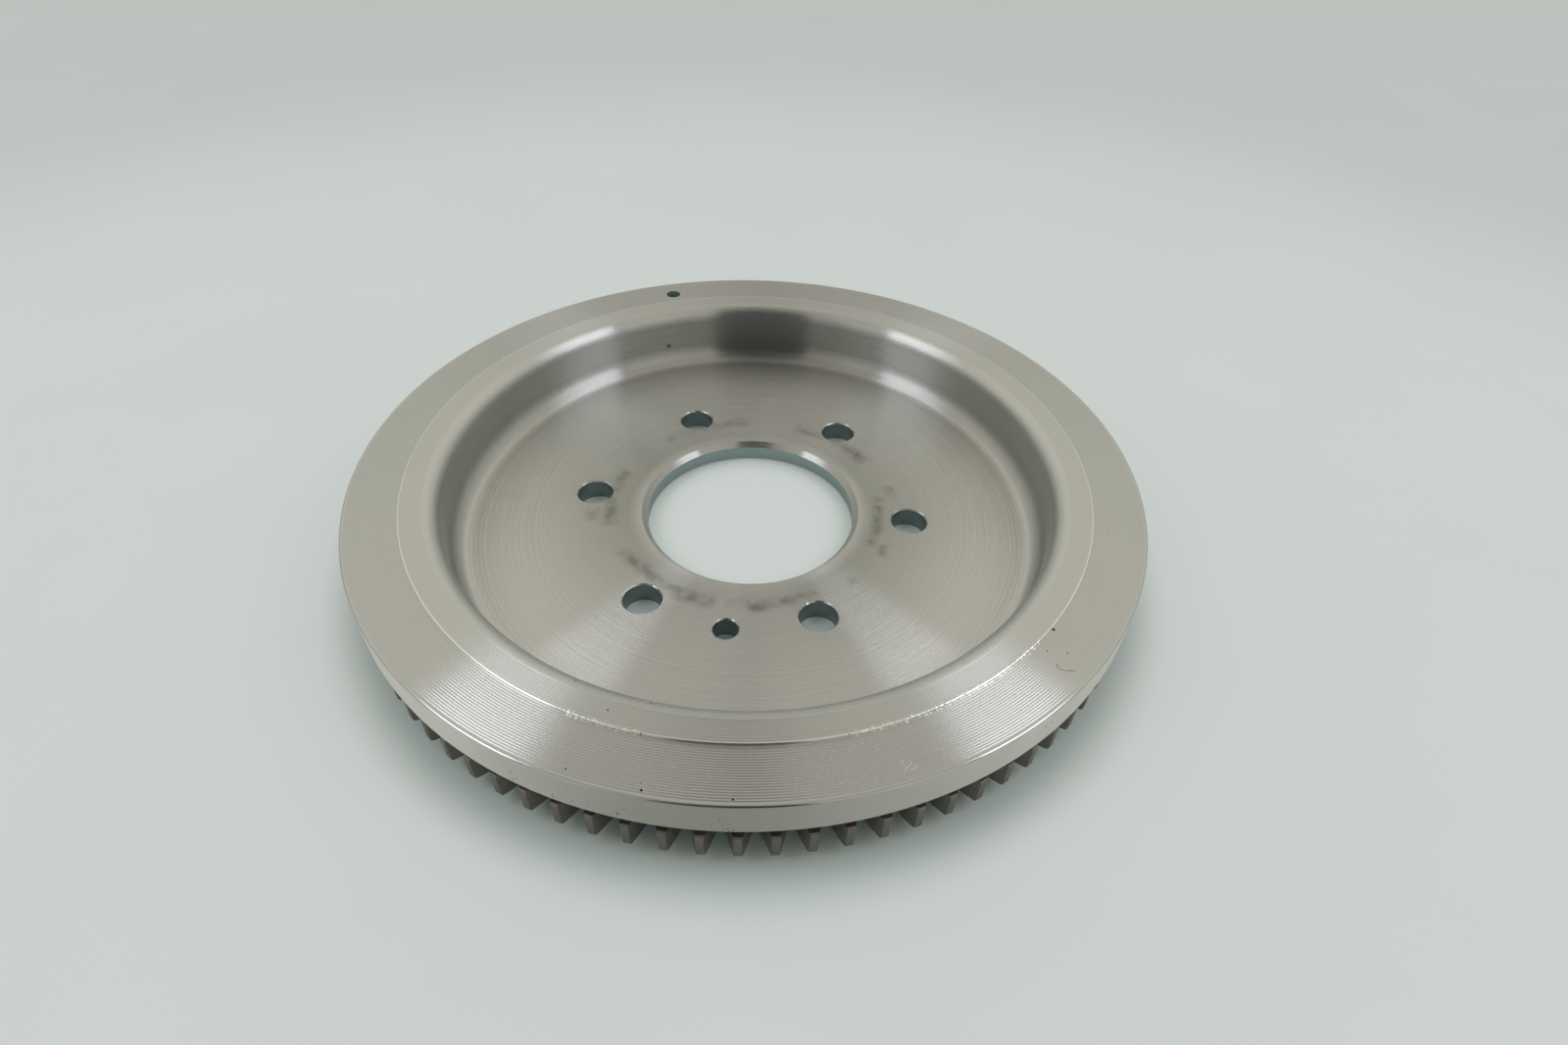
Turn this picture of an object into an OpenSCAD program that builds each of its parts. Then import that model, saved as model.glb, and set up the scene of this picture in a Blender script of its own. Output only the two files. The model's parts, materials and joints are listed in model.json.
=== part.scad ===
// Starter ring gear: a dished steel disc turned from one blank, with spur teeth cut in its rim under a flange.
// Millimetres. Z is the axis of rotation, and Z = 0 is the underside of the web, which bolts to a hub.

/* [Teeth] */
// Number of teeth
tooth_count = 86; // [70:1:120]
// Module: the pitch diameter over the number of teeth
tooth_module = 2; // [1.75:0.25:3]
// Pressure angle in degrees
pressure_angle = 20; // [17.5:0.5:25]
// Height of the tooth tips above the pitch circle, in modules
addendum = 1; // [0.75:0.05:1.1]
// Depth of the tooth roots below the pitch circle, in modules
dedendum = 1.25; // [1.15:0.05:1.4]
// Face width of the teeth, along the axis
tooth_w = 6.2; // [4:0.1:9]
// Metal taken off each flank at the pitch circle, for running clearance
flank_clearance = 0.1; // [0:0.05:0.3]
// Chamfer on both ends of the tooth tips
tip_chamfer = 0.3; // [0.2:0.1:1.5]

/* [Flange] */
// How far the flange stands out past the tooth tips
flange_overhang = 0.75; // [0.5:0.25:5]
// Thickness of the flange
flange_t = 7.8; // [5:0.1:10]
// Round on the flange's upper edge
flange_round = 0.5; // [0.2:0.1:2]
// Chamfer on the flange's lower edge
flange_chamfer = 0.3; // [0.1:0.1:1]
// Height of the tool run-out groove between the flange and the teeth
groove_h = 3.4; // [1:0.1:4]
// Depth of that groove below the tooth roots
groove_depth = 0.3; // [0.1:0.1:2]

/* [Rim face] */
// Radial width of the outer ring of the face
outer_face_w = 11.2; // [8:0.1:14]
// Height of the bevelled step up to the inner ring of the face
face_step = 0.4; // [0.2:0.1:1.5]

/* [Dish] */
// Radial width of the rim, from the outside of the flange to the wall of the dish
rim_w = 19.5; // [18:0.5:26]
// Depth of the dish, below the outer ring of the face
dish_depth = 15; // [13:0.5:25]
// Round where the face turns down into the dish
lip_round = 3.3; // [1:0.1:4]
// Fillet between the wall of the dish and the web
floor_fillet = 4.5; // [1:0.5:8]

/* [Web] */
// Thickness of the web
web_t = 5; // [4:0.5:10]
// Diameter of the centre bore
bore_d = 50; // [30:1:56]
// Chamfer on the upper edge of the bore
bore_chamfer = 1.2; // [0.4:0.1:2]
// Chamfer on the lower edge of the bore
bore_relief = 0.5; // [0.2:0.1:1.5]
// Radial distance from the tooth roots in to the bevel of the underside
shoulder_inset = 1.4; // [1:0.1:6]

/* [Holes] */
// Number of bolt holes
bolt_count = 6; // [3:1:8]
// Diameter of the bolt circle
bolt_pcd = 77; // [72:0.5:100]
// Diameter of a bolt hole
bolt_d = 8.4; // [4:0.1:11]
// Chamfer on the upper edge of the bolt holes
bolt_chamfer = 0.3; // [0.1:0.1:1]
// Diameter of the locating pin's hole
pin_d = 5.5; // [3:0.1:8]
// Distance of that hole from the axis
pin_r = 39.5; // [36:0.5:50]
// Chamfer on the upper edge of that hole
pin_chamfer = 0.25; // [0.1:0.05:0.5]
// Diameter of the blind timing hole in the rim's face
mark_d = 4; // [2:0.1:6]
// Depth of the timing hole, without its drill point
mark_depth = 6; // [3:0.5:6]
// Distance of the timing hole from the outside of the flange
mark_inset = 6.75; // [4:0.25:8]
// Angle of the timing hole about the axis, from +X
mark_angle = 114; // [0:1:359]

/* [Hidden] */
$fn = 180;

// Circles of the gear
pitch_r = tooth_module * tooth_count / 2;
base_r = pitch_r * cos(pressure_angle);
tip_r = pitch_r + addendum * tooth_module;
root_r = pitch_r - dedendum * tooth_module;
tooth_pitch = 360 / tooth_count;

// Radii of the turned section, from the outside in
flange_r = tip_r + flange_overhang;
groove_r = root_r - groove_depth;
shoulder_r = root_r - shoulder_inset;
step_r = flange_r - outer_face_w;
wall_r = flange_r - rim_w;
bore_r = bore_d / 2;

// Heights, from the underside of the web up
face_z = web_t + dish_depth;
top_z = face_z + face_step;
flange_z = face_z - flange_t;
teeth_top_z = flange_z - groove_h;
teeth_z = teeth_top_z - tooth_w;

// The pin's hole lies half way between two bolt holes, and the timing hole ends in a drill's point
pin_angle = -90;
bolt_angle = pin_angle + 180 / bolt_count;
drill_point = 118;

// How far a cutting shape reaches past the face that it cuts
reach = 1;
// Straight pieces along one flank, and round one root
flank_steps = 3;
root_steps = 4;

// Angle between a radius and the involute flank, where the flank crosses the circle of radius r
function flank_angle(r) = acos(base_r / r);
function involute(angle) = tan(angle) * 180 / PI - angle;

// Half the angle that a space between two teeth takes up at radius r
clearance_angle = flank_clearance / pitch_r * 180 / PI;
function half_space(r) =
    tooth_pitch / 4 + clearance_angle + involute(flank_angle(r)) - involute(pressure_angle);

// The root is one round that touches the root circle and runs into both flanks
root_lean = flank_angle(root_r) + half_space(root_r);
root_half_w = root_r * sin(half_space(root_r));
root_round = root_half_w / (cos(root_lean) - tan(root_lean) * (1 - sin(root_lean)));
flank_start_r = root_r + root_round * (1 - sin(root_lean));

function polar(r, angle) = [r * cos(angle), r * sin(angle)];

// Outline of one space, opening along +X: in along one flank, round the root and out along the other
function flank(side) = [
    for (i = [0 : flank_steps])
        let (r = flank_start_r + (tip_r + reach - flank_start_r) * i / flank_steps)
        polar(r, side * half_space(r))
];
function root_arc() = [
    for (i = [1 : root_steps - 1])
        let (turn = (90 - root_lean) * (2 * i / root_steps - 1))
        [root_r + root_round * (1 - cos(turn)), root_round * sin(turn)]
];
function reversed(points) = [for (i = [len(points) - 1 : -1 : 0]) points[i]];

module tooth_spaces() {
    translate([0, 0, teeth_z - reach])
        linear_extrude(height = tooth_w + reach + groove_h / 2)
            for (i = [0 : tooth_count - 1])
                rotate((i + 0.5) * tooth_pitch)
                    polygon(concat(reversed(flank(-1)), root_arc(), flank(1)));
}

// Half section of the blank, with its corners sharp where a round follows
module section_outline() {
    polygon([
        [bore_r + bore_relief, 0],
        [shoulder_r - teeth_z, 0],
        [shoulder_r, teeth_z],
        [tip_r - tip_chamfer, teeth_z],
        [tip_r, teeth_z + tip_chamfer],
        [tip_r, teeth_top_z - tip_chamfer],
        [tip_r - tip_chamfer, teeth_top_z],
        [groove_r, teeth_top_z],
        [groove_r, flange_z],
        [flange_r - flange_chamfer, flange_z],
        [flange_r, flange_z + flange_chamfer],
        [flange_r, face_z],
        [step_r, face_z],
        [step_r - face_step, top_z],
        [wall_r, top_z],
        [wall_r, web_t],
        [bore_r + bore_chamfer, web_t],
        [bore_r, web_t - bore_chamfer],
        [bore_r, bore_relief]
    ]);
}

// What a round of radius r takes off a corner at the origin, with metal on the side of -X and -Y
module corner_waste(r) {
    translate([-r, -r])
        difference() {
            square(r + reach);
            circle(r);
        }
}

// What a fillet of radius r adds in a corner at the origin, with metal on the side of +X and -Y
module corner_fill(r) {
    translate([-r, -reach])
        difference() {
            square([r + reach, r + reach]);
            translate([0, r + reach])
                circle(r);
        }
}

module blank() {
    rotate_extrude()
        difference() {
            union() {
                section_outline();
                translate([wall_r, web_t])
                    corner_fill(floor_fillet);
            }
            translate([flange_r, face_z])
                corner_waste(flange_round);
            translate([wall_r, top_z])
                mirror([1, 0])
                    corner_waste(lip_round);
        }
}

// A hole of diameter d down through the web, with its upper edge chamfered
module web_hole(d, chamfer) {
    translate([0, 0, -reach])
        cylinder(d = d, h = web_t + 2 * reach);
    translate([0, 0, web_t - chamfer])
        cylinder(d1 = d, d2 = d + 2 * (chamfer + reach), h = chamfer + reach);
}

module bolt_holes() {
    for (i = [0 : bolt_count - 1])
        rotate(bolt_angle + i * 360 / bolt_count)
            translate([bolt_pcd / 2, 0])
                web_hole(bolt_d, bolt_chamfer);
}

module pin_hole() {
    rotate(pin_angle)
        translate([pin_r, 0])
            web_hole(pin_d, pin_chamfer);
}

module timing_hole() {
    point_h = mark_d / 2 / tan(drill_point / 2);
    rotate(mark_angle)
        translate([flange_r - mark_inset, 0, face_z - mark_depth]) {
            cylinder(d = mark_d, h = mark_depth + reach);
            translate([0, 0, -point_h])
                cylinder(d1 = 0, d2 = mark_d, h = point_h);
        }
}

module starter_ring_gear() {
    color("#a5a29a")
        difference() {
            blank();
            tooth_spaces();
            bolt_holes();
            pin_hole();
            timing_hole();
        }
}

starter_ring_gear();
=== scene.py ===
"""Dresses the starter ring gear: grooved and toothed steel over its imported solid, in studio light."""

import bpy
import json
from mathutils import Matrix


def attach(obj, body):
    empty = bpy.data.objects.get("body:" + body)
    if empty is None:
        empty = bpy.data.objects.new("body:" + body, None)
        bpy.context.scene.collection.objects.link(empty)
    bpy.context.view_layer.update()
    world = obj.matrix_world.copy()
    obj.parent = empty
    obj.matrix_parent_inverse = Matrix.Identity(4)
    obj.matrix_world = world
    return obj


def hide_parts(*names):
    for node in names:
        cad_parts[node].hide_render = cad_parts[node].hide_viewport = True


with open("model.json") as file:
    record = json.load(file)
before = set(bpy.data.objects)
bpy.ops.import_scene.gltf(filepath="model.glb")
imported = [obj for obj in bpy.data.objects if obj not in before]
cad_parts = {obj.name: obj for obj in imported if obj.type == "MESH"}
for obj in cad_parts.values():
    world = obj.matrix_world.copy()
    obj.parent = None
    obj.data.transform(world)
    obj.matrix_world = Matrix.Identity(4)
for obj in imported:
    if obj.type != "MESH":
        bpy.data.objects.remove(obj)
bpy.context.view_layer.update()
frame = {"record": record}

import copy
import functools
import json
import math

import bmesh
import bpy
from bpy.props import FloatProperty, FloatVectorProperty, IntProperty, PointerProperty
from mathutils import Matrix, Vector

bl_info = {
    "name": "Starter ring gear",
    "version": (1, 0, 0),
    "blender": (4, 5, 0),
    "location": "3D View > Sidebar > Ring gear",
    "description": "Models and finishes a turned steel starter ring gear and its studio",
    "category": "Object",
}

MM = 0.001
MOUNTS = {mount["name"]: mount for mount in frame["record"]["mounts"]}
GEAR_NODE = "starter_ring_gear"


def length(name, description, millimetres):
    """A size that a user may change, given in millimetres and kept in metres."""
    metres = millimetres * MM
    return FloatProperty(name=name, description=description, default=metres, unit="LENGTH", precision=5)


def share(name, description, default):
    """A plain number that a user may change."""
    return FloatProperty(name=name, description=description, default=default)


def turn(name, description, degrees):
    """An angle that a user may change."""
    return FloatProperty(name=name, description=description, default=math.radians(degrees), subtype="ANGLE")


def colour(name, description, default):
    """A colour that a user may change, in linear light."""
    return FloatVectorProperty(name=name, description=description, default=default, size=3, subtype="COLOR")


class RINGGEAR_PG_teeth(bpy.types.PropertyGroup):
    """Sizes of the teeth"""

    count: IntProperty(name="Teeth", description="Number of teeth", default=86)
    module: length("Module", "Pitch diameter over the number of teeth", 2)
    pressure: turn("Pressure angle", "Slope of the flanks at the pitch circle", 20)
    addendum: share("Addendum", "Height of the tips above the pitch circle, in modules", 1)
    dedendum: share("Dedendum", "Depth of the roots below the pitch circle, in modules", 1.25)
    width: length("Face width", "Width of the teeth along the axis", 6.2)
    clearance: length("Clearance", "Metal taken off each flank at the pitch circle", 0.1)
    chamfer: length("Chamfer", "Chamfer on both ends of the tips", 0.3)


class RINGGEAR_PG_section(bpy.types.PropertyGroup):
    """Sizes of the turned section"""

    overhang: length("Overhang", "How far the flange stands out past the tips", 0.75)
    flange: length("Flange", "Thickness of the flange", 7.8)
    edge_round: length("Edge round", "Round on the flange's upper edge", 0.5)
    edge_chamfer: length("Edge chamfer", "Chamfer on the flange's lower edge", 0.3)
    groove: length("Groove", "Height of the run-out groove over the teeth", 3.4)
    groove_depth: length("Groove depth", "Depth of the run-out groove below the roots", 0.3)
    outer_face: length("Outer face", "Radial width of the face's outer ring", 11.2)
    step: length("Step", "Height of the step up to the face's inner ring", 0.4)
    rim: length("Rim", "Radial width from the flange's outside to the dish's wall", 19.5)
    dish: length("Dish", "Depth of the dish below the outer face", 15)
    lip: length("Lip", "Round where the face turns down into the dish", 3.3)
    fillet: length("Fillet", "Fillet between the dish's wall and the web", 4.5)
    web: length("Web", "Thickness of the web", 5)
    bore_chamfer: length("Bore chamfer", "Chamfer on the bore's upper edge", 1.2)
    bore_relief: length("Bore relief", "Chamfer on the bore's lower edge", 0.5)
    shoulder: length("Shoulder", "Distance from the roots in to the underside's bevel", 1.4)


class RINGGEAR_PG_holes(bpy.types.PropertyGroup):
    """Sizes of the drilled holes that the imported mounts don't give"""

    bolt_chamfer: length("Bolt chamfer", "Chamfer on the bolt holes", 0.3)
    pin_chamfer: length("Pin chamfer", "Chamfer on the pin's hole", 0.25)
    mark_diameter: length("Timing hole", "Diameter of the blind hole in the rim", 4)
    mark_depth: length("Timing depth", "Depth of that hole without its point", 6)
    mark_inset: length("Timing inset", "Distance of that hole from the flange's outside", 6.75)
    mark_angle: turn("Timing angle", "Angle of that hole about the axis", 114)
    drill_point: turn("Drill point", "Full angle of the drill's point", 118)


class RINGGEAR_PG_finish(bpy.types.PropertyGroup):
    """Finish of the steel"""

    pitch: length("Groove pitch", "Distance between the lathe grooves of the rim's face", 0.5)
    outer_depth: length("Outer grooves", "Depth of the lathe grooves of the face's outer ring", 0.07)
    inner_depth: length("Inner grooves", "Depth of the lathe grooves of the face's inner ring", 0.059)
    mark_pitch: length("Mark pitch", "Distance between the fine turning marks of the dish", 0.12)
    mark_slope: share("Mark slope", "Steepest slope of those marks", 0.38)
    steel: colour("Steel", "Colour of the freshly turned steel", (0.50, 0.492, 0.472))
    band: colour("Band steel", "Colour of the flange's outside", (0.55, 0.53, 0.485))
    # The drilled steel's dark teal colour is painted shade and a painted reflection of the shadowed floor
    # inside the holes
    drilled: colour("Drilled steel", "Colour of the walls of the holes", (0.27, 0.33, 0.33))
    tooth_steel: colour("Tooth steel", "Colour of the hardened teeth", (0.202, 0.183, 0.166))
    stain: colour("Stain", "Colour of the smudges round the bore", (0.105, 0.104, 0.09))
    grime: colour("Grime", "Colour of the specks and pits", (0.03, 0.028, 0.025))
    face_roughness: share("Face roughness", "Roughness of the rim's grooved face", 0.27)
    dish_roughness: share("Dish roughness", "Roughness of the web and the dish's wall", 0.24)
    band_roughness: share("Band roughness", "Roughness of the flange's outside", 0.45)
    edge_roughness: share("Edge roughness", "Roughness of the step and the flange's upper edge", 0.17)
    hole_roughness: share("Hole roughness", "Roughness of the walls of the holes", 0.45)
    tooth_roughness: share("Tooth roughness", "Roughness of the teeth", 0.48)


class RINGGEAR_PG_studio(bpy.types.PropertyGroup):
    """Floor, lamps and camera"""

    floor: colour("Floor", "Colour of the floor", (0.65, 0.72, 0.70))
    backdrop: colour("Backdrop", "Colour of the open floor as the camera sees it", (0.61, 0.645, 0.62))
    azimuth: turn("Azimuth", "Camera's angle about the axis", 7.5)
    elevation: turn("Elevation", "Camera's angle above the floor", 37.94)
    distance: length("Distance", "Camera's distance from the middle of the rim's face", 201.4)
    yaw: turn("Yaw", "Camera's turn to the side", 2.22)
    pitch: turn("Pitch", "Camera's turn down", 4.29)
    roll: turn("Roll", "Camera's turn about its own axis", -0.44)
    lens: share("Lens", "Focal length in millimetres on a 36 mm sensor", 19.86)
    panel_power: share("Panels", "Power of each side panel in watts", 2.5)
    panel_colour: colour("Panel colour", "Colour of the side panels' light", (0.81, 0.855, 1.0))
    panel_aside: length("Panel aside", "Distance of the panels from the axis, to either side", 780)
    panel_before: length("Panel before", "Distance of the panels from the axis, towards the camera", 155)
    panel_above: length("Panel above", "Height of the panels over the floor", 800)
    panel_skew: turn("Panel skew", "Angle that the panels' outer ends are turned towards the camera", 43)
    panel_length: length("Panel length", "Length of the panels", 720)
    panel_width: length("Panel width", "Width of the panels", 370)
    horizon: colour("Horizon", "Colour of the room low down", (0.29, 0.41, 0.42))
    wall: colour("Wall", "Colour of the room's walls", (0.91, 0.905, 0.80))
    ceiling: colour("Ceiling", "Colour of the room's ceiling", (0.62, 0.61, 0.55))
    unlit: colour("Unlit side", "Colour of the room behind the camera", (0.015, 0.015, 0.015))


class RINGGEAR_PG_settings(bpy.types.PropertyGroup):
    """Everything that a user may change"""

    teeth: PointerProperty(type=RINGGEAR_PG_teeth)
    section: PointerProperty(type=RINGGEAR_PG_section)
    holes: PointerProperty(type=RINGGEAR_PG_holes)
    finish: PointerProperty(type=RINGGEAR_PG_finish)
    studio: PointerProperty(type=RINGGEAR_PG_studio)


class Gear:
    """The circles and heights of the gear, worked out from the settings."""

    def __init__(self, settings):
        teeth = settings.teeth
        section = settings.section
        self.teeth = teeth
        self.section = section
        self.pitch_r = teeth.module * teeth.count / 2
        self.base_r = self.pitch_r * math.cos(teeth.pressure)
        self.tip_r = self.pitch_r + teeth.addendum * teeth.module
        self.root_r = self.pitch_r - teeth.dedendum * teeth.module
        self.flange_r = self.tip_r + section.overhang
        self.groove_r = self.root_r - section.groove_depth
        self.shoulder_r = self.root_r - section.shoulder
        self.step_r = self.flange_r - section.outer_face
        self.wall_r = self.flange_r - section.rim
        self.lip_r = self.wall_r + section.lip
        self.flat_r = self.wall_r - section.fillet
        self.bore_r = MOUNTS["bore"]["dims"]["r_mm"] * MM
        self.face_z = section.web + section.dish
        self.top_z = self.face_z + section.step
        self.flange_z = self.face_z - section.flange
        self.teeth_top_z = self.flange_z - section.groove
        self.teeth_z = self.teeth_top_z - teeth.width

    def flank_angle(self, radius):
        """Angle between a radius and the involute flank, on the circle of that radius."""
        return math.acos(self.base_r / radius)

    def half_space(self, radius):
        """Half the angle that the space between two teeth takes up, on the circle of that radius."""
        teeth = self.teeth
        at_radius = self.flank_angle(radius)
        widening = math.tan(at_radius) - at_radius - math.tan(teeth.pressure) + teeth.pressure
        return math.pi / (2 * teeth.count) + teeth.clearance / self.pitch_r + widening


# Modelling

# Steps round the gear, along a round, the riser, a lathe groove, a flank and a root, and round a hole
SEGMENTS = 344
ROUND_STEPS = 8
RISER_STEPS = 4
GROOVE_STEPS = 4
FLANK_STEPS = 6
ROOT_STEPS = 8
HOLE_SEGMENTS = 64

# Reach of a cutter past what it cuts, flat beside a round, angle of a sharp edge and distance for welding
REACH = 1 * MM
SUPPORT = 0.25 * MM
SHARP_ANGLE = math.radians(30)
WELD = 1e-7


def arc(centre, radius, start, end, steps=ROUND_STEPS):
    """Points along an arc of the section, with its angles in degrees."""
    angles = [math.radians(start + (end - start) * i / steps) for i in range(steps + 1)]
    return [(centre[0] + radius * math.cos(a), centre[1] + radius * math.sin(a)) for a in angles]


def lathe_grooves(outer, inner, height, pitch, depth):
    """Points of the shallow grooves that the lathe tool leaves across a flat ring, from outside in."""
    count = round((outer - inner) / pitch)
    points = []
    for i in range(count * GROOVE_STEPS + 1):
        phase = 2 * math.pi * i / GROOVE_STEPS
        radius = outer + (inner - outer) * i / (count * GROOVE_STEPS)
        points.append((radius, height - depth * (1 - math.cos(phase)) / 2))
    return points


def turned_section(gear, finish):
    """Closed half section of the blank, from the bore's lower edge round the outside to its upper edge."""
    s = gear.section
    chamfer = gear.teeth.chamfer
    under = [
        (gear.bore_r, s.bore_relief),
        (gear.bore_r + s.bore_relief, 0),
        (gear.shoulder_r - gear.teeth_z, 0),
        (gear.shoulder_r, gear.teeth_z),
    ]
    tooth_ring = [
        (gear.tip_r - chamfer, gear.teeth_z),
        (gear.tip_r, gear.teeth_z + chamfer),
        (gear.tip_r, gear.teeth_top_z - chamfer),
        (gear.tip_r - chamfer, gear.teeth_top_z),
        (gear.groove_r, gear.teeth_top_z),
    ]
    band = [
        (gear.groove_r, gear.flange_z),
        (gear.flange_r - s.edge_chamfer, gear.flange_z),
        (gear.flange_r, gear.flange_z + s.edge_chamfer),
        (gear.flange_r, gear.face_z - s.edge_round - SUPPORT),
    ]
    edge = arc((gear.flange_r - s.edge_round, gear.face_z - s.edge_round), s.edge_round, 0, 90)
    rim_r = gear.flange_r - s.edge_round - SUPPORT
    outer_ring = lathe_grooves(rim_r, gear.step_r, gear.face_z, finish.pitch, finish.outer_depth)
    riser = arc((gear.step_r - s.step, gear.face_z), s.step, 0, 90, RISER_STEPS)
    upper_r = gear.step_r - s.step
    inner_ring = lathe_grooves(upper_r, gear.lip_r + SUPPORT, gear.top_z, finish.pitch, finish.inner_depth)
    lip = arc((gear.lip_r, gear.top_z - s.lip), s.lip, 90, 180)
    wall = [
        (gear.wall_r, gear.top_z - s.lip - SUPPORT),
        (gear.wall_r, s.web + s.fillet + SUPPORT),
    ]
    fillet = arc((gear.flat_r, s.web + s.fillet), s.fillet, 0, -90)
    web = [
        (gear.flat_r - SUPPORT, s.web),
        (gear.bore_r + s.bore_chamfer, s.web),
        (gear.bore_r, s.web - s.bore_chamfer),
    ]
    face = outer_ring + riser[1:-1] + inner_ring
    return under + tooth_ring + band + edge + face + lip + wall + fillet + web


def spin_section(points, steps):
    """A bmesh of a closed half section, spun about the axis."""
    mesh = bmesh.new()
    verts = [mesh.verts.new((radius, 0, height)) for radius, height in points]
    edges = [mesh.edges.new(pair) for pair in zip(verts, verts[1:] + verts[:1])]
    bmesh.ops.spin(
        mesh,
        geom=verts + edges,
        axis=(0, 0, 1),
        cent=(0, 0, 0),
        angle=2 * math.pi,
        steps=steps,
        use_merge=True,
    )
    bmesh.ops.remove_doubles(mesh, verts=mesh.verts, dist=WELD)
    bmesh.ops.recalc_face_normals(mesh, faces=mesh.faces)
    return mesh


def space_outline(gear):
    """Outline of the space between two teeth, opening along +X."""
    half = gear.half_space(gear.root_r)
    lean = gear.flank_angle(gear.root_r) + half
    root_round = gear.root_r * math.sin(half) / (math.cos(lean) - math.tan(lean) * (1 - math.sin(lean)))
    start = gear.root_r + root_round * (1 - math.sin(lean))
    flank = []
    for i in range(FLANK_STEPS + 1):
        radius = start + (gear.tip_r + REACH - start) * i / FLANK_STEPS
        angle = gear.half_space(radius)
        flank.append((radius * math.cos(angle), radius * math.sin(angle)))
    root = []
    for i in range(1, ROOT_STEPS):
        swing = (math.pi / 2 - lean) * (2 * i / ROOT_STEPS - 1)
        root.append((gear.root_r + root_round * (1 - math.cos(swing)), root_round * math.sin(swing)))
    return [(x, -y) for x, y in reversed(flank)] + root + flank


def tooth_spaces(gear):
    """A bmesh of the spaces between the teeth, as prisms that reach from below them into the groove."""
    mesh = bmesh.new()
    low = gear.teeth_z - REACH
    high = gear.teeth_top_z + gear.section.groove / 2
    pitch = 2 * math.pi / gear.teeth.count
    verts = [mesh.verts.new((x, y, low)) for x, y in space_outline(gear)]
    floor = mesh.faces.new(verts)
    pulled = bmesh.ops.extrude_face_region(mesh, geom=[floor], use_keep_orig=True)
    raised = [item for item in pulled["geom"] if isinstance(item, bmesh.types.BMVert)]
    bmesh.ops.translate(mesh, verts=raised, vec=(0, 0, high - low))
    bmesh.ops.rotate(mesh, verts=mesh.verts, matrix=Matrix.Rotation(pitch / 2, 3, "Z"))
    bmesh.ops.recalc_face_normals(mesh, faces=mesh.faces)
    bmesh.ops.spin(
        mesh,
        geom=mesh.verts[:] + mesh.edges[:] + mesh.faces[:],
        axis=(0, 0, 1),
        cent=(0, 0, 0),
        angle=2 * math.pi - pitch,
        steps=gear.teeth.count - 1,
        use_duplicate=True,
    )
    return mesh


def drill(mesh, section, place):
    """Adds a drill of the given half section to a bmesh, with its axis at a place."""
    tool = spin_section(section, HOLE_SEGMENTS)
    bmesh.ops.translate(tool, verts=tool.verts, vec=place)
    data = bpy.data.meshes.new("drill")
    tool.to_mesh(data)
    tool.free()
    mesh.from_mesh(data)
    bpy.data.meshes.remove(data)


def through_drill(radius, chamfer, thickness):
    """Half section of a drill that goes right through the web and chamfers its upper edge."""
    return [
        (0, -REACH),
        (radius, -REACH),
        (radius, thickness - chamfer),
        (radius + chamfer + REACH, thickness + REACH),
        (0, thickness + REACH),
    ]


def holes(gear, sizes):
    """A bmesh of everything that is drilled out: bolt holes, pin's hole and timing hole."""
    mesh = bmesh.new()
    web = gear.section.web
    bolts = MOUNTS["bolt_circle"]["dims"]
    bolt = through_drill(bolts["hole_r_mm"] * MM, sizes.bolt_chamfer, web)
    pin_place = Vector(MOUNTS["pin_hole"]["pos_m"])
    pin_place.z = 0
    first = math.atan2(pin_place.y, pin_place.x) + math.pi / bolts["count"]
    for i in range(bolts["count"]):
        angle = first + 2 * math.pi * i / bolts["count"]
        drill(mesh, bolt, Matrix.Rotation(angle, 3, "Z") @ Vector((bolts["pcd_mm"] / 2 * MM, 0, 0)))
    drill(mesh, through_drill(MOUNTS["pin_hole"]["dims"]["r_mm"] * MM, sizes.pin_chamfer, web), pin_place)
    radius = sizes.mark_diameter / 2
    floor = gear.face_z - sizes.mark_depth
    timing = [
        (0, floor - radius / math.tan(sizes.drill_point / 2)),
        (radius, floor),
        (radius, gear.face_z + REACH),
        (0, gear.face_z + REACH),
    ]
    timing_place = Vector((gear.flange_r - sizes.mark_inset, 0, 0))
    drill(mesh, timing, Matrix.Rotation(sizes.mark_angle, 3, "Z") @ timing_place)
    return mesh


def new_object(name, mesh):
    """A scene object made from a bmesh, which is freed."""
    data = bpy.data.meshes.new(name)
    mesh.to_mesh(data)
    mesh.free()
    made = bpy.data.objects.new(name, data)
    bpy.context.scene.collection.objects.link(made)
    return made


def cut(piece, tool):
    """Cuts one object out of another for good, and deletes the tool."""
    modifier = piece.modifiers.new("cut", "BOOLEAN")
    modifier.operation = "DIFFERENCE"
    modifier.solver = "EXACT"
    modifier.object = tool
    bpy.context.view_layer.update()
    result = bpy.data.meshes.new_from_object(piece.evaluated_get(bpy.context.evaluated_depsgraph_get()))
    piece.modifiers.clear()
    old = piece.data
    result.name = old.name + "_cut"
    piece.data = result
    bpy.data.meshes.remove(old)
    bpy.data.objects.remove(tool)


# Shading

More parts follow.
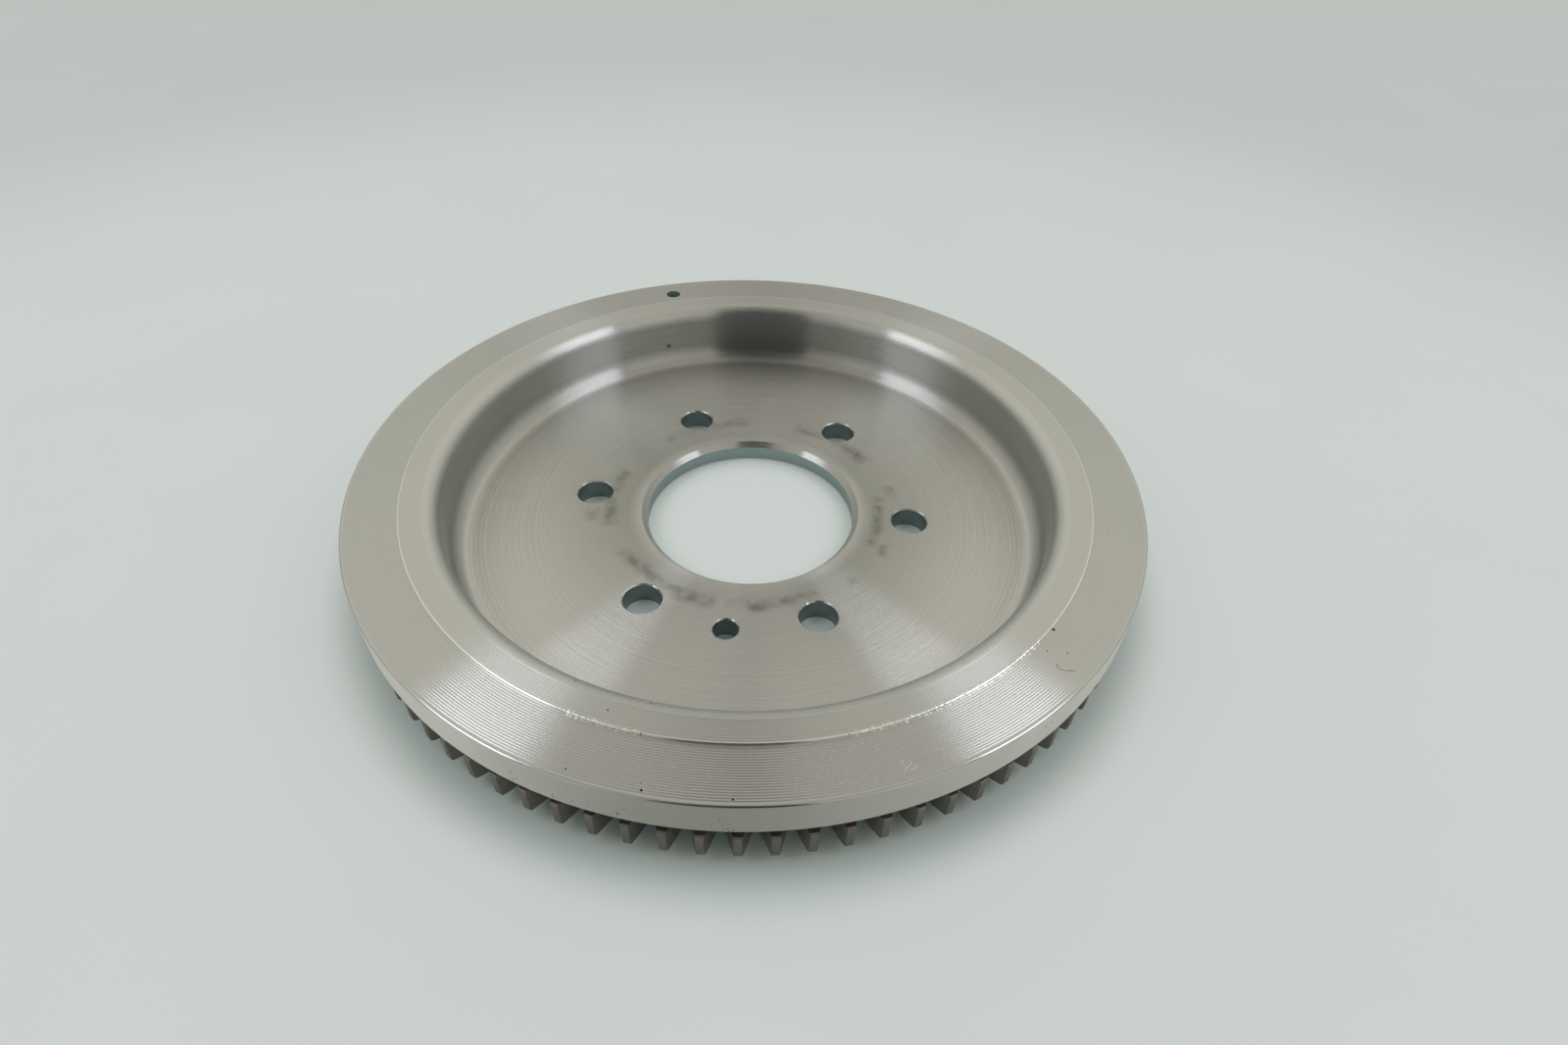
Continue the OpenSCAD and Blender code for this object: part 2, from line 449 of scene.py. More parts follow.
class Wire:
    """One output of a material's nodes, which takes part in sums as a number does."""

    def __init__(self, bench, socket):
        self.bench = bench
        self.socket = socket

    def math(self, operation, *others):
        """What one of the Math node's operations gives for this wire and others."""
        return self.bench.add("ShaderNodeMath", {"operation": operation}, dict(enumerate((self,) + others)))

    def __add__(self, other):
        return self.math("ADD", other)

    def __radd__(self, other):
        return self.math("ADD", other)

    def __sub__(self, other):
        return self.math("SUBTRACT", other)

    def __rsub__(self, other):
        return self.bench.add("ShaderNodeMath", {"operation": "SUBTRACT"}, {0: other, 1: self})

    def __mul__(self, other):
        return self.math("MULTIPLY", other)

    def __rmul__(self, other):
        return self.math("MULTIPLY", other)

    def __truediv__(self, other):
        return self.math("DIVIDE", other)

    def __pow__(self, other):
        return self.math("POWER", other)

    def step(self, low, high):
        """Rises smoothly from 0 at low to 1 at high."""
        settings = {"interpolation_type": "SMOOTHSTEP"}
        inputs = {"Value": self, "From Min": low, "From Max": high}
        return self.bench.add("ShaderNodeMapRange", settings, inputs)

    def between(self, low, high, soft):
        """1 between two values and 0 outside them, with soft edges."""
        return self.step(low - soft, low + soft) * (1 - self.step(high - soft, high + soft))


def either(masks):
    """The greatest of several masks."""
    return functools.reduce(lambda first, second: first.math("MAXIMUM", second), masks)


def uneven(pattern, contrast):
    """A pattern that runs from 0 to 1, made to vary about 0 with the given contrast."""
    return contrast * (pattern - 0.5)


class Bench:
    """Where a material's or the world's nodes are made and wired."""

    def __init__(self, owner):
        owner.use_nodes = True
        self.tree = owner.node_tree
        self.tree.nodes.clear()

    def add(self, kind, settings=None, inputs=None, output=0):
        """Makes a node, sets it up, fills its sockets with values or wires, and gives back one output."""
        node = self.tree.nodes.new(kind)
        for name, value in (settings or {}).items():
            setattr(node, name, value)
        for name, value in (inputs or {}).items():
            if isinstance(value, Wire):
                self.tree.links.new(value.socket, node.inputs[name])
            else:
                node.inputs[name].default_value = value
        return Wire(self, node.outputs[output]) if len(node.outputs) else None

    def split(self, vector):
        """The three coordinates of a vector."""
        first = self.add("ShaderNodeSeparateXYZ", None, {0: vector})
        return [Wire(self, socket) for socket in first.socket.node.outputs]

    def mix(self, factor, first, second):
        """A colour between two others."""
        settings = {"data_type": "RGBA", "clamp_factor": True}
        return self.add("ShaderNodeMix", settings, {0: factor, 6: first, 7: second}, output=2)

    def vector(self, operation, *vectors):
        """A vector worked out from others."""
        return self.add("ShaderNodeVectorMath", {"operation": operation}, dict(enumerate(vectors)))

    def shaded(self, rgb, light):
        """A colour made lighter or darker, or a vector made longer or shorter."""
        return self.add("ShaderNodeVectorMath", {"operation": "SCALE"}, {0: rgb, "Scale": light})

    def metal(self, tone, roughness, **sockets):
        """Ends a material in a metal of the given colour and roughness."""
        values = {"Base Color": tone, "Roughness": roughness, "Metallic": 1}
        values.update(sockets)
        shader = self.add("ShaderNodeBsdfPrincipled", None, values)
        self.add("ShaderNodeOutputMaterial", None, {"Surface": shader})


def opaque(rgb):
    """A colour with full alpha."""
    return (*rgb, 1)


# Shares of a small mark's size between which its edge fades
FADE_START = 0.3
FADE_END = 0.6

# How far the fine turning marks wander, in marks, and over what distance in millimetres
WANDER = 5
WANDER_PITCH = 1.3


class Place:
    """Where a point of the gear lies, with masks for marks on it.

    A bearing is the angle round from the pin's hole, from -180 to 180 degrees, anticlockwise from above.
    Marks are given in millimetres and degrees."""

    def __init__(self, bench):
        self.bench = bench
        self.point = bench.add("ShaderNodeTexCoord", output="Object")
        self.x, self.y, self.z = bench.split(self.point)
        self.plan = bench.add("ShaderNodeCombineXYZ", None, {"X": self.x, "Y": self.y})
        self.radius = (self.x * self.x + self.y * self.y) ** 0.5
        self.bearing = self.x.math("ARCTAN2", -1 * self.y)

    def clouds(self, size, detail=3):
        """Soft lumps of about the given size."""
        inputs = {"Vector": self.point, "Scale": 1 / (size * MM), "Detail": detail}
        return self.bench.add("ShaderNodeTexNoise", None, inputs)

    def rings(self, pitch):
        """Uneven turning rings about the axis, which run on up the wall and round the lip."""
        inputs = {"W": (self.radius + self.z) / (pitch * MM), "Scale": 1, "Detail": 2}
        return self.bench.add("ShaderNodeTexNoise", {"noise_dimensions": "1D"}, inputs)

    def turned_normal(self, pitch, slope):
        """The surface's normal, tilted to and fro across fine turning marks about the axis."""
        normal = self.bench.add("ShaderNodeNewGeometry", output="Normal")
        along = self.bench.vector("NORMALIZE", self.bench.vector("CROSS_PRODUCT", (0, 0, 1), self.plan))
        across = self.bench.vector("CROSS_PRODUCT", along, normal)
        wave = ((self.radius + self.z) / pitch + WANDER * self.rings(WANDER_PITCH)).math("PINGPONG", 1)
        tilted = self.bench.vector("ADD", normal, self.bench.shaded(across, slope * (2 * wave - 1)))
        return self.bench.vector("NORMALIZE", tilted)

    def ragged(self, size, amount):
        """The same place, shaken so that marks get uneven edges."""
        shaken = copy.copy(self)
        shake = (self.clouds(size) - 0.5) * (amount * MM)
        shaken.radius = self.radius + shake
        shaken.bearing = self.bearing + shake / self.radius
        return shaken

    def along(self, first, last, soft):
        """1 from one bearing to another and 0 beyond them, with soft ends, all in degrees."""
        return self.bearing.between(math.radians(first), math.radians(last), math.radians(soft))

    def patch(self, inner, outer, first, last, soft):
        """1 within part of a ring, from one bearing to another, and 0 outside it."""
        across = self.radius.between(inner * MM, outer * MM, soft * MM)
        return across * self.bearing.between(math.radians(first), math.radians(last), soft / inner)

    def spot(self, radius, bearing, size):
        """1 within a small round spot, and 0 outside it."""
        angle = math.radians(bearing)
        centre = Vector((math.sin(angle), -math.cos(angle), 0)) * radius * MM
        settings = {"operation": "DISTANCE"}
        away = self.bench.add("ShaderNodeVectorMath", settings, {0: self.plan, 1: centre}, output="Value")
        return 1 - away.step(FADE_START * size * MM, FADE_END * size * MM)

    def dot(self, bearing, height, size):
        """1 within a small round spot on an upright face, and 0 outside it."""
        along = (self.bearing - math.radians(bearing)) * self.radius
        up = self.z - height * MM
        away = (along * along + up * up) ** 0.5
        return 1 - away.step(FADE_START * size * MM, FADE_END * size * MM)

    def stroke(self, start, end, width):
        """1 along a thin straight mark between two points of the plan, and 0 beside it."""
        start = Vector(start) * MM
        way = Vector(end) * MM - start
        distance = way.length
        way.normalize()
        along = self.x * way.x + self.y * way.y - way.dot(start)
        aside = (self.x * way.y - self.y * way.x - start.cross(way)).math("ABSOLUTE")
        thin = 1 - aside.step(FADE_START * width * MM, FADE_END * width * MM)
        return along.between(0, distance, width * MM / 2) * thin


# How the lathe leaves the steel: a highlight that spreads across the turning marks and hardly along them
TURNED_GRAIN = {"Anisotropic": 1.0, "Anisotropic Rotation": 0.25}
SATIN_GRAIN = {"Anisotropic": 0.8, "Anisotropic Rotation": 0.25}

# Oily smudges on the web: inner and outer radius, first and last bearing, strength
SMUDGES = (
    (31, 34, -55, -6, 0.65),
    (31, 33, -2, 34, 0.65),
    (32, 34, 7, 14, 0.9),
    (33, 35, 48, 52, 0.5),
    (30, 32, 72, 102, 0.8),
    (33.5, 35.5, 68, 74, 0.7),
    (33.5, 35.5, 103, 110, 0.7),
    (33, 35.5, 130, 168, 0.65),
    (33.5, 36, 128, 136, 0.8),
    (33, 36, -171, -132, 0.42),
    (32.5, 35.5, -105, -70, 0.65),
    (36.5, 39.5, -82, -74, 0.4),
)

# Dark dots on the dish's wall and on the flange's outside: bearing, height, size
WALL_DOTS = ((-152, 10.5, 1.5),)
BAND_DOTS = ((43.3, 17, 0.4), (44.3, 17, 0.4), (-19, 13.4, 0.4))

# Dark specks on the lip: radius, bearing, size
LIP_SPECKS = ((71, -18, 0.35), (71, -6.4, 0.35))

# Dark specks on the rim's face: radius, bearing, size
SPECKS = (
    (86.0, -4.1, 0.2),
    (87.2, -3.8, 0.5),
    (87.3, 5.8, 0.45),
    (86.8, -12.4, 0.3),
    (74.6, -11.4, 0.35),
    (79.6, 51.3, 0.3),
    (82.5, 52.9, 0.3),
    (77.8, 55.3, 0.6),
)

# Hair-like scratch and feathery scratches on the rim's face: the points that each runs through, in plan
HAIR = ((63.4, -52.5), (63.6, -53.7), (64.7, -54.0), (66.6, -53.9))
FEATHERS = (
    ((35.7, -78.6), (37.0, -76.5)),
    ((35.1, -76.6), (36.1, -77.7)),
    ((38.0, -77.1), (36.6, -78.2)),
)

# Where the step's edge is nicked: first and last bearing
NICKED = ((-16, -6), (20, 52))

# Where the outer ring's grooves are scuffed: inner and outer radius, first and last bearing
SCUFFED = ((80, 85, -24, -13), (81, 87, -6, 4), (78, 88, 12, 32))


def new_material(name):
    """A new material, with a bench for its nodes and the place that they read."""
    material = bpy.data.materials.new(name)
    bench = Bench(material)
    return material, bench, Place(bench)


# Dish steel: painted shade that darkens its wall, and how dark the dots on it are
WALL_PAINTED_SHADE = 0.2
WALL_MARGIN = 0.3 * MM
WALL_SOFT = 0.6 * MM
DOT_SHADE = 0.6

# The web's oily film: its strength, its shares ahead of the bore and by its edge, and where it thins out
FILM = 0.6
FILM_AHEAD = 0.2
FILM_BY_BORE = 0.45
FILM_THINS = (20 * MM, 66 * MM)
FILM_STARTS = (1 * MM, 5 * MM)
SMUDGE_ROUGHER = 0.08


def dish_steel(gear, finish):
    """Bright steel of the web and the dish's wall and lip, with turning rings and smudges by the bore."""
    material, bench, place = new_material("dish_steel")
    section = gear.section
    rings = place.rings(pitch=0.3)
    clouds = place.clouds(size=18)
    wall = place.radius.between(gear.wall_r - section.fillet / 2, gear.wall_r + WALL_MARGIN, WALL_SOFT)
    # The dish's wall is darkened with painted shade
    light = 1 + uneven(rings, contrast=0.3) + uneven(clouds, contrast=0.08) - WALL_PAINTED_SHADE * wall
    steel = bench.shaded(finish.steel, light)
    shaken = place.ragged(size=7, amount=3)
    smudge = either([strength * shaken.patch(*bounds, soft=1.3) for *bounds, strength in SMUDGES])
    smudge = smudge * place.clouds(size=3, detail=4).step(low=0.2, high=0.8)
    sideways = place.x.math("ABSOLUTE") / place.radius
    film = FILM * (FILM_AHEAD + (1 - FILM_AHEAD) * sideways) * (1 - shaken.radius.step(*FILM_THINS))
    off_bore = place.radius.step(*[gear.bore_r + distance for distance in FILM_STARTS])
    film = film * (FILM_BY_BORE + (1 - FILM_BY_BORE) * off_bore)
    upper = place.z.step(section.web / 3, section.web / 2)
    clean = (1 - smudge) * (1 - film)
    tone = bench.mix((1 - clean) * upper, steel, opaque(finish.stain))
    dots = [DOT_SHADE * place.dot(*dot) for dot in WALL_DOTS]
    specks = [place.spot(*speck) for speck in LIP_SPECKS]
    tone = bench.mix(either(dots + specks), tone, opaque(finish.grime))
    roughness = finish.dish_roughness + uneven(rings, contrast=0.06) + uneven(clouds, contrast=0.06)
    roughness = roughness + SMUDGE_ROUGHER * smudge
    normal = place.turned_normal(finish.mark_pitch, finish.mark_slope)
    bench.metal(tone, roughness, Normal=normal, **TURNED_GRAIN)
    return material


# Face steel: how its marks change its tone, and the painted highlight that lightens its polished riser
BRIGHT_GAIN = 0.6
SCUFF_SHARE = 0.3
FEATHER_SHARE = 0.6
HAIR_SHADE = 0.5
OUTER_SHADE = 0.09
RISER_PAINTED_HIGHLIGHT = 0.4

# Face steel: reach of the nicks past the step and depth of nicks and specks, in millimetres, and softness
NICKS_INSIDE = 0.7
NICKS_OUTSIDE = 0.3
NICK_DEPTH = 0.06
SPECK_DEPTH = 0.1
RISER_SOFT = 0.05 * MM
OUTER_SOFT = 0.3 * MM
INNER_ROUGHER = 0.05
GRIME_ROUGHER = 0.3


def face_steel(gear, finish):
    """Grooved steel of the rim's face, with polished edges, nicks, scuffs, specks and scratches."""
    material, bench, place = new_material("face_steel")
    section = gear.section
    rings = place.rings(pitch=0.15)
    clouds = place.clouds(size=18)
    riser = place.radius.between(gear.step_r - section.step, gear.step_r, RISER_SOFT)
    rounded_r = gear.flange_r - section.edge_round
    polished = either([riser, place.radius.step(rounded_r - SUPPORT, rounded_r)])
    step_mm = gear.step_r / MM
    nick_ring = (step_mm - NICKS_INSIDE, step_mm + NICKS_OUTSIDE)
    nicked = either([place.patch(*nick_ring, *ends, soft=0.15) for ends in NICKED])
    nicks = nicked * place.clouds(size=0.5, detail=1).step(low=0.58, high=0.66)
    scuffed = either([place.patch(*bounds, soft=2) for bounds in SCUFFED])
    scuffs = scuffed * place.clouds(size=0.3, detail=1).step(low=0.62, high=0.75)
    specks = either([place.spot(*speck) for speck in SPECKS])
    hair = either([place.stroke(start, end, width=0.2) for start, end in zip(HAIR, HAIR[1:])])
    feathers = either([place.stroke(start, end, width=0.15) for start, end in FEATHERS])
    bright = either([nicks, scuffs * SCUFF_SHARE, feathers * FEATHER_SHARE])
    outer = place.radius.step(gear.step_r, gear.step_r + OUTER_SOFT)
    light = 1 + uneven(rings, contrast=0.25) + uneven(clouds, contrast=0.08) + BRIGHT_GAIN * bright
    # The riser is lightened with a painted highlight along the step's edge
    light = light - HAIR_SHADE * hair - OUTER_SHADE * outer + RISER_PAINTED_HIGHLIGHT * riser
    tone = bench.mix(specks, bench.shaded(finish.steel, light), opaque(finish.grime))
    plain = finish.face_roughness + (finish.edge_roughness - finish.face_roughness) * polished
    plain = plain + INNER_ROUGHER * (1 - outer)
    roughness = plain + uneven(clouds, contrast=0.04) + GRIME_ROUGHER * specks
    height = (place.clouds(size=0.6, detail=1) * nicked * NICK_DEPTH - specks * SPECK_DEPTH) * MM
    bump = bench.add("ShaderNodeBump", None, {"Strength": 1, "Distance": 1, "Height": height})
    bench.metal(tone, roughness, Normal=bump, **TURNED_GRAIN)
    return material


# Band steel: first and last bearing of its pitted stretch, of the stretches lightened with painted light on
# its left and right and of the stretch darkened with painted shade at its front, and how they change its
# tone
PITTED = (-20, 7)
PAINTED_LIGHT_RIGHT = (35, 95)
PAINTED_LIGHT_LEFT = (-50, -22)
PAINTED_SHADE_FRONT = (-10, 14)
PAINTED_LIGHT_GAIN = 0.18
PAINTED_LIGHT_LEFT_SHARE = 1.3
FRONT_PAINTED_SHADE = 0.15

# Its pits: their spacing, how rare they are and how they crowd, and their sizes as shares of the spacing
PIT_SPACING = 0.7 * MM
PIT_RARITY = 0.98
PIT_CROWDING = 0.5
PIT_SOFT = 0.02
PIT_CORE = 0.2
PIT_RIM = 0.25
PIT_EDGE = 0.05


def band_steel(gear, finish):
    """Satin steel of the flange's outside, with fine pits along its front."""
    material, bench, place = new_material("band_steel")
    clouds = place.clouds(size=8, detail=5)
    inputs = {"Vector": place.point, "Scale": 1 / PIT_SPACING}
    away = bench.add("ShaderNodeTexVoronoi", None, inputs, output="Distance")
    chance, size, _ = bench.split(bench.add("ShaderNodeTexVoronoi", None, inputs, output="Color"))
    crowded = place.along(*PITTED, soft=6)
    lower = 1 - place.z.step(gear.flange_z, gear.face_z)
    present = (chance - PIT_RARITY + PIT_CROWDING * crowded * lower).step(0, PIT_SOFT)
    pits = (1 - away.step(PIT_CORE * size, PIT_EDGE + PIT_RIM * size)) * present
    pits = either([pits] + [place.dot(*dot) for dot in BAND_DOTS])
    # Painted light on the band's left and right, and painted shade at its front, set by bearing
    clean = place.along(*PAINTED_LIGHT_RIGHT, soft=15) + PAINTED_LIGHT_LEFT_SHARE * place.along(*PAINTED_LIGHT_LEFT, soft=8)
    front_shade = place.along(*PAINTED_SHADE_FRONT, soft=8)
    light = 1 + uneven(clouds, contrast=0.12) + PAINTED_LIGHT_GAIN * clean - FRONT_PAINTED_SHADE * front_shade
    tone = bench.mix(pits, bench.shaded(finish.band, light), opaque(finish.grime))
    roughness = finish.band_roughness + uneven(clouds, contrast=0.1) + GRIME_ROUGHER * pits
    bench.metal(tone, roughness, **SATIN_GRAIN)
    return material


# Drilled steel: painted light that makes the bore's wall and the timing hole lighter, and how far the
# bore's wall reaches
BORE_PAINTED_LIGHT = 0.14
TIMING_PAINTED_LIGHT = 0.9
BORE_REACH = (0.5 * MM, 1 * MM)


def drilled_steel(gear, finish):
    """Dull steel inside the bore and the drilled holes, whose dark teal colour is painted shade and a
    painted reflection of the shadowed floor, lightened with painted light in the bore and the timing hole.
    """
    material, bench, place = new_material("drilled_steel")
    rings = place.rings(pitch=0.4)
    bore = 1 - place.radius.step(*[gear.bore_r + distance for distance in BORE_REACH])
    timing = place.radius.step(gear.wall_r, gear.lip_r)
    # Painted light: the bore's wall and the timing hole are made lighter in colour
    light = 1 + uneven(rings, contrast=0.3) + BORE_PAINTED_LIGHT * bore + TIMING_PAINTED_LIGHT * timing
    roughness = finish.hole_roughness + uneven(rings, contrast=0.1)
    bench.metal(bench.shaded(finish.drilled, light), roughness)
    return material


# Tooth steel: how much darker its spots are, and how metallic it is under its scale
SPOT_SHADE = 0.25
TOOTH_METAL = 0.85


def tooth_steel(finish):
    """Dull brown-grey steel of the hardened teeth."""
    material, bench, place = new_material("tooth_steel")
    clouds = place.clouds(size=2.5, detail=5)
    spots = place.clouds(size=0.9, detail=2).step(low=0.62, high=0.72)
    light = 1 + uneven(clouds, contrast=0.5) - SPOT_SHADE * spots
    tone = bench.shaded(finish.tooth_steel, light)
    roughness = finish.tooth_roughness + uneven(clouds, contrast=0.15)
    bench.metal(tone, roughness, Metallic=TOOTH_METAL)
    return material


# Floor: where it darkens towards the back, far off and in the gear's shadow, and by how much
BACK = (0.05, 0.3)
BACK_SHADE = 0.03
FAR = (0.24, 0.44)
FAR_SHADE = 0.12
SHADOW_INSIDE = 2 * MM
SHADOW_OUTSIDE = 5.5 * MM
SHADOW_SOFT = 6 * MM
SHADOW_SHADE = 0.09

# Floor: its gloss, and how much of the plain backdrop shows where it lies open
FLOOR_GLOSS = {"Roughness": 0.45, "Specular IOR Level": 0.3}
OPEN_SHARE = 0.7


def floor_paint(gear, studio):
    """Pale, slightly glossy floor: a plain backdrop where it lies open, which keeps the gear's shadow."""
    material, bench, place = new_material("pale_floor")
    light = 1 + uneven(place.clouds(size=60), contrast=0.04)
    light = light - BACK_SHADE * place.y.step(*BACK) - FAR_SHADE * place.radius.step(*FAR)
    shadow = (gear.bore_r - SHADOW_INSIDE, gear.flange_r + SHADOW_OUTSIDE)
    shadowed = place.radius.between(*shadow, SHADOW_SOFT)
    painted = bench.shaded(studio.floor, light * (1 - SHADOW_SHADE * shadowed))
    paint = bench.add("ShaderNodeBsdfPrincipled", None, {"Base Color": painted, **FLOOR_GLOSS})
    backdrop = bench.add("ShaderNodeEmission", None, {"Color": bench.shaded(studio.backdrop, light)})
    rays = ("Is Camera Ray", "Is Glossy Ray", "Is Transmission Ray")
    seen = either([bench.add("ShaderNodeLightPath", output=ray) for ray in rays])
    inputs = {0: OPEN_SHARE * seen * (1 - shadowed), 1: paint, 2: backdrop}
    shader = bench.add("ShaderNodeMixShader", None, inputs)
    bench.add("ShaderNodeOutputMaterial", None, {"Surface": shader})
    return material


DISH, FACE, BAND, DRILLED, TOOTH = range(5)

# How far a face's normal may lean up on an upright face, and how exactly a face's height is known
UPRIGHT = 0.5
EXACT = 0.01 * MM


def steel_of(gear, face):
    """Which of the five steels a face of the finished mesh has."""
    section = gear.section
    radius = math.hypot(face.center.x, face.center.y)
    upright = abs(face.normal.z) < UPRIGHT
    if radius > gear.shoulder_r and face.center.z < gear.flange_z + EXACT:
        return TOOTH
    if radius > gear.flange_r - section.edge_chamfer and upright:
        return BAND
    if radius > gear.lip_r:
        return DRILLED if face.center.z < gear.face_z - section.edge_round - SUPPORT / 2 else FACE
    return DRILLED if radius < gear.flat_r and upright else DISH


# Operators

class RINGGEAR_OT_gear(bpy.types.Operator):
    """Turn the blank, cut its teeth, drill its holes and finish it"""

    bl_idname = "ringgear.gear"
    bl_label = "Ring gear"

    def execute(self, context):
        settings = context.scene.ring_gear
        finish = settings.finish
        gear = Gear(settings)
        piece = new_object("ring_gear", spin_section(turned_section(gear, finish), SEGMENTS))
        cut(piece, new_object("tooth_spaces", tooth_spaces(gear)))
        cut(piece, new_object("holes", holes(gear, settings.holes)))
        data = piece.data
        data.materials.clear()
        steels = {
            DISH: dish_steel(gear, finish),
            FACE: face_steel(gear, finish),
            BAND: band_steel(gear, finish),
            DRILLED: drilled_steel(gear, finish),
            TOOTH: tooth_steel(finish),
        }
        for index in sorted(steels):
            data.materials.append(steels[index])
        for face in data.polygons:
            face.material_index = steel_of(gear, face)
        data.shade_smooth()
        data.set_sharp_from_angle(angle=SHARP_ANGLE)
        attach(piece, "root")
        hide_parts(GEAR_NODE)
        return {"FINISHED"}


# The floor's disc and the camera
FLOOR_SEGMENTS = 96
FLOOR_RADIUS = 6
SENSOR = 36
NEAREST = 0.01

# Where the room's light changes with height, as sines of the angle above the floor
WALL_RISES = (0.06, 0.38)
CEILING_RISES = (0.7, 0.95)
DIM_FALLS = (0.55, 0.85)
UNLIT_RISES = (0.1, 0.26)
UNLIT_FADES = (0.78, 0.94)
RIGHT_RISES = (0.36, 0.5)
GLOW_RISES = (0.3, 0.42)

# Where it changes round the room, in degrees from straight behind the camera
SIDES_START = (75, 90)
UNLIT_TURN = 4
UNLIT_ENDS = (18, 20.5)
DIM_ENDS = (30, 38)
RIGHT_STARTS = (8, 14)
GLOW_ENDS = (34, 80)
GLOW_SOFT = 4

# How much light those parts of the room have
DIM_LIGHT = 0.9
DIM_LOSS = 0.35
DIM_SHARE = 0.75
RIGHT_GAIN = 0.7
UNLIT_LOSS = 0.3
GLOW = 0.12
GLOW_RIGHT_LOSS = 0.06

# Width and softness of the dark gap along a panel's inner edge, as shares of the panel's height
GAP = 0.05
GAP_SOFT = 0.01


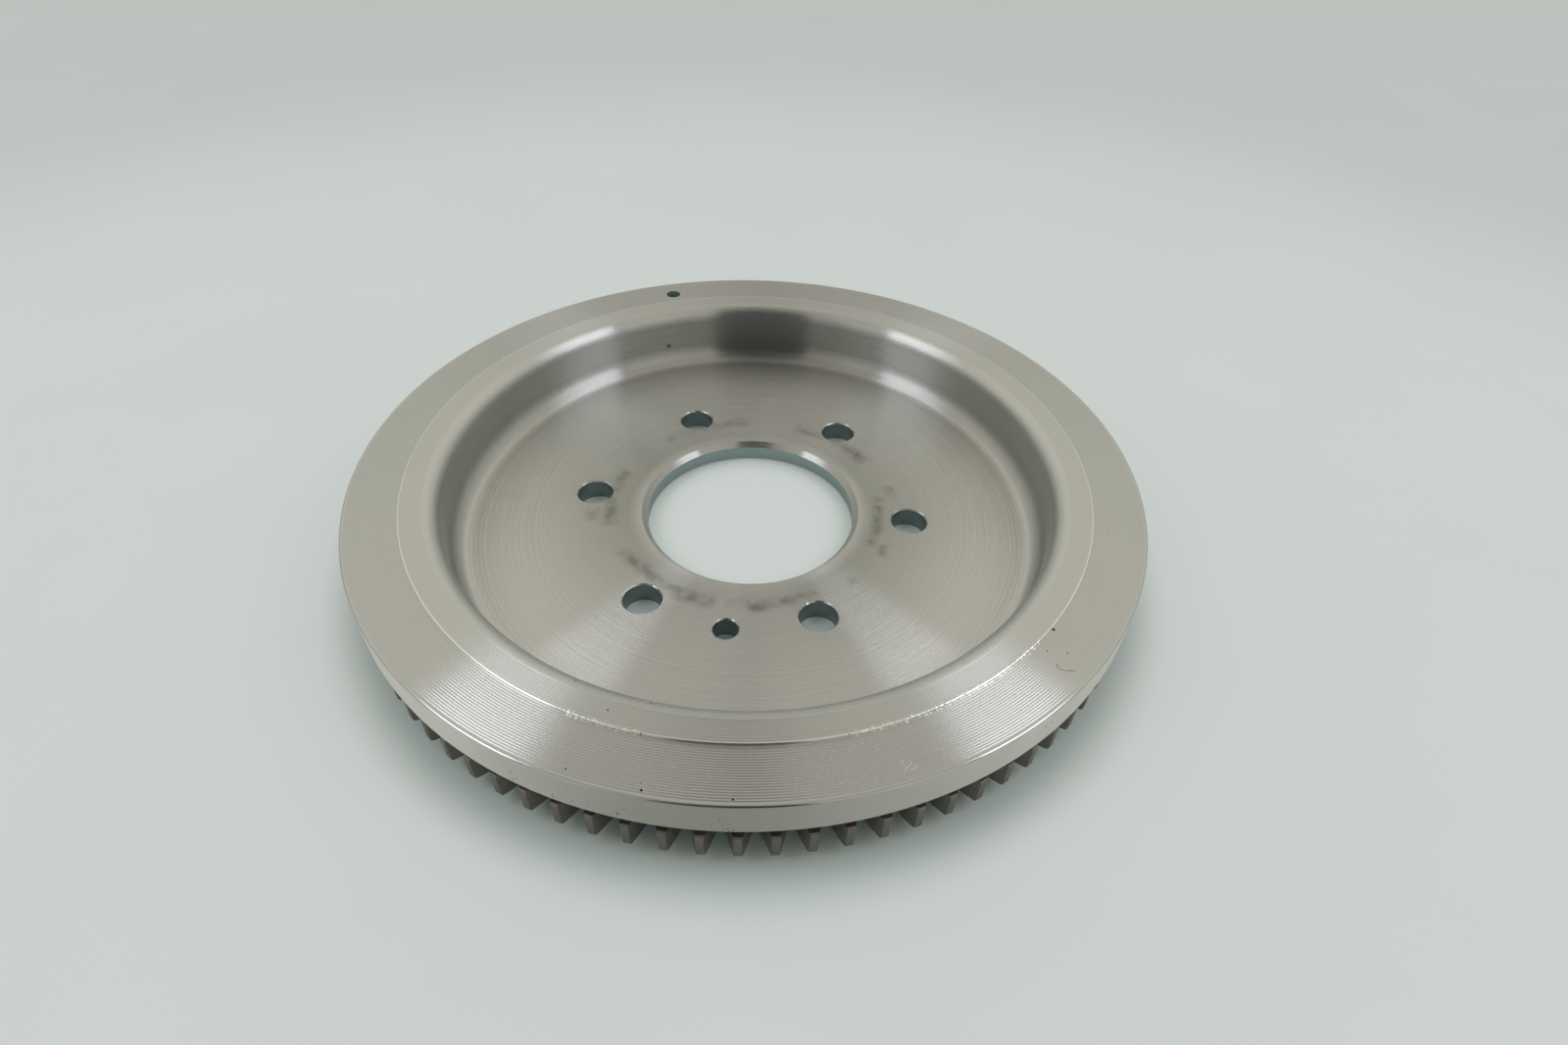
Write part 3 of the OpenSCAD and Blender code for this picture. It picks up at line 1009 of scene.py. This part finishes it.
class RINGGEAR_OT_stage(bpy.types.Operator):
    """Lay the floor, hang the lamps and set up the camera"""

    bl_idname = "ringgear.stage"
    bl_label = "Studio"

    def execute(self, context):
        settings = context.scene.ring_gear
        studio = settings.studio
        gear = Gear(settings)
        scene = context.scene
        scene.view_settings.view_transform = "Standard"
        self.lay_floor(gear, studio)
        for side, name in ((-1, "left_panel"), (1, "right_panel")):
            self.hang_panel(scene, studio, side, name)
        self.light_room(scene, studio)
        self.aim(scene, studio, gear)
        return {"FINISHED"}

    def lay_floor(self, gear, studio):
        """A wide round floor."""
        mesh = bmesh.new()
        bmesh.ops.create_circle(mesh, cap_ends=True, segments=FLOOR_SEGMENTS, radius=FLOOR_RADIUS)
        floor = new_object("floor", mesh)
        floor.data.materials.append(floor_paint(gear, studio))

    def hang_panel(self, scene, studio, side, name):
        """A soft panel of light, which lies flat over one side of the gear and faces down."""
        lamp = bpy.data.lights.new(name, "AREA")
        lamp.shape = "RECTANGLE"
        lamp.size = studio.panel_length
        lamp.size_y = studio.panel_width
        lamp.energy = studio.panel_power
        lamp.color = studio.panel_colour
        panel = bpy.data.objects.new(name, lamp)
        scene.collection.objects.link(panel)
        place = Matrix.Translation((side * studio.panel_aside, -studio.panel_before, studio.panel_above))
        skew = Matrix.Rotation(-side * studio.panel_skew, 4, "Z")
        panel.matrix_world = Matrix.Rotation(studio.azimuth, 4, "Z") @ place @ skew

    def light_room(self, scene, studio):
        """Light from the room: bright walls, a dimmer ceiling, and unlit parts.

        The unlit parts lie behind the camera and in a gap along each panel's inner edge."""
        world = bpy.data.worlds.new("room")
        scene.world = world
        bench = Bench(world)
        x, y, height = bench.split(bench.add("ShaderNodeTexCoord", output="Generated"))
        towards = x * math.sin(studio.azimuth) - y * math.cos(studio.azimuth)
        across = x * math.cos(studio.azimuth) + y * math.sin(studio.azimuth)
        bearing = across.math("ARCTAN2", towards) * math.degrees(1)
        aside = bearing.math("ABSOLUTE")
        beside = aside.step(*SIDES_START)
        off = (bearing + UNLIT_TURN).math("ABSOLUTE")
        right = bearing.step(*RIGHT_STARTS) * height.step(*RIGHT_RISES)
        dim = DIM_LIGHT - DIM_LOSS * height.step(*DIM_FALLS)
        dim = dim * (DIM_SHARE + (1 - DIM_SHARE) * off.step(*DIM_ENDS))
        dim = (dim + RIGHT_GAIN * right * (1 - dim)) * off.step(*UNLIT_ENDS)
        skew = studio.panel_skew
        inner = studio.panel_aside * math.sin(skew) - studio.panel_before * math.cos(skew)
        inner = (inner - studio.panel_width / 2) / studio.panel_above
        inwards = towards * math.cos(skew) - across.math("ABSOLUTE") * math.sin(skew)
        from_panel = inwards / height + inner
        gap = from_panel.between(0, GAP, GAP_SOFT) * (1 - beside)
        lit = either([dim, 1 - from_panel.step(0, GAP_SOFT), beside]) * (1 - gap)
        sky = bench.mix(height.step(*WALL_RISES), opaque(studio.horizon), opaque(studio.wall))
        sky = bench.mix(height.step(*CEILING_RISES), sky, opaque(studio.ceiling))
        shade = height.step(*UNLIT_RISES) * (1 - UNLIT_LOSS * height.step(*UNLIT_FADES))
        sky = bench.mix((1 - lit) * shade, sky, opaque(studio.unlit))
        glow = GLOW - GLOW_RIGHT_LOSS * right
        glow = glow * aside.between(*GLOW_ENDS, GLOW_SOFT) * height.step(*GLOW_RISES)
        background = bench.add("ShaderNodeBackground", None, {"Color": sky, "Strength": 1 + glow})
        bench.add("ShaderNodeOutputWorld", None, {"Surface": background})

    def aim(self, scene, studio, gear):
        """The camera, which looks down at the gear from the side of the pin's hole."""
        lens = bpy.data.cameras.new("camera")
        lens.sensor_width = SENSOR
        lens.sensor_fit = "HORIZONTAL"
        lens.lens = studio.lens
        lens.clip_start = NEAREST
        camera = bpy.data.objects.new("camera", lens)
        scene.collection.objects.link(camera)
        raised = Matrix.Rotation(math.pi / 2 - studio.elevation, 4, "X")
        orbit = Matrix.Rotation(studio.azimuth, 4, "Z") @ raised
        turned = Matrix.Rotation(-studio.yaw, 4, "Y") @ Matrix.Rotation(-studio.pitch, 4, "X")
        turned = turned @ Matrix.Rotation(-studio.roll, 4, "Z")
        out = Matrix.Translation((0, 0, studio.distance))
        camera.matrix_world = Matrix.Translation((0, 0, gear.face_z)) @ orbit @ out @ turned
        scene.camera = camera


class RINGGEAR_PT_panel(bpy.types.Panel):
    """Lists what can be built"""

    bl_idname = "RINGGEAR_PT_panel"
    bl_label = "Ring gear"
    bl_space_type = "VIEW_3D"
    bl_region_type = "UI"
    bl_category = "Ring gear"

    def draw(self, context):
        for operator in (RINGGEAR_OT_gear, RINGGEAR_OT_stage):
            self.layout.operator(operator.bl_idname)


CLASSES = (
    RINGGEAR_PG_teeth,
    RINGGEAR_PG_section,
    RINGGEAR_PG_holes,
    RINGGEAR_PG_finish,
    RINGGEAR_PG_studio,
    RINGGEAR_PG_settings,
    RINGGEAR_OT_gear,
    RINGGEAR_OT_stage,
    RINGGEAR_PT_panel,
)


def register():
    for each in CLASSES:
        bpy.utils.register_class(each)
    bpy.types.Scene.ring_gear = PointerProperty(type=RINGGEAR_PG_settings)


def unregister():
    del bpy.types.Scene.ring_gear
    for each in reversed(CLASSES):
        bpy.utils.unregister_class(each)


def main():
    register()
    bpy.ops.ringgear.gear()
    bpy.ops.ringgear.stage()


if __name__ == "__main__":
    main()
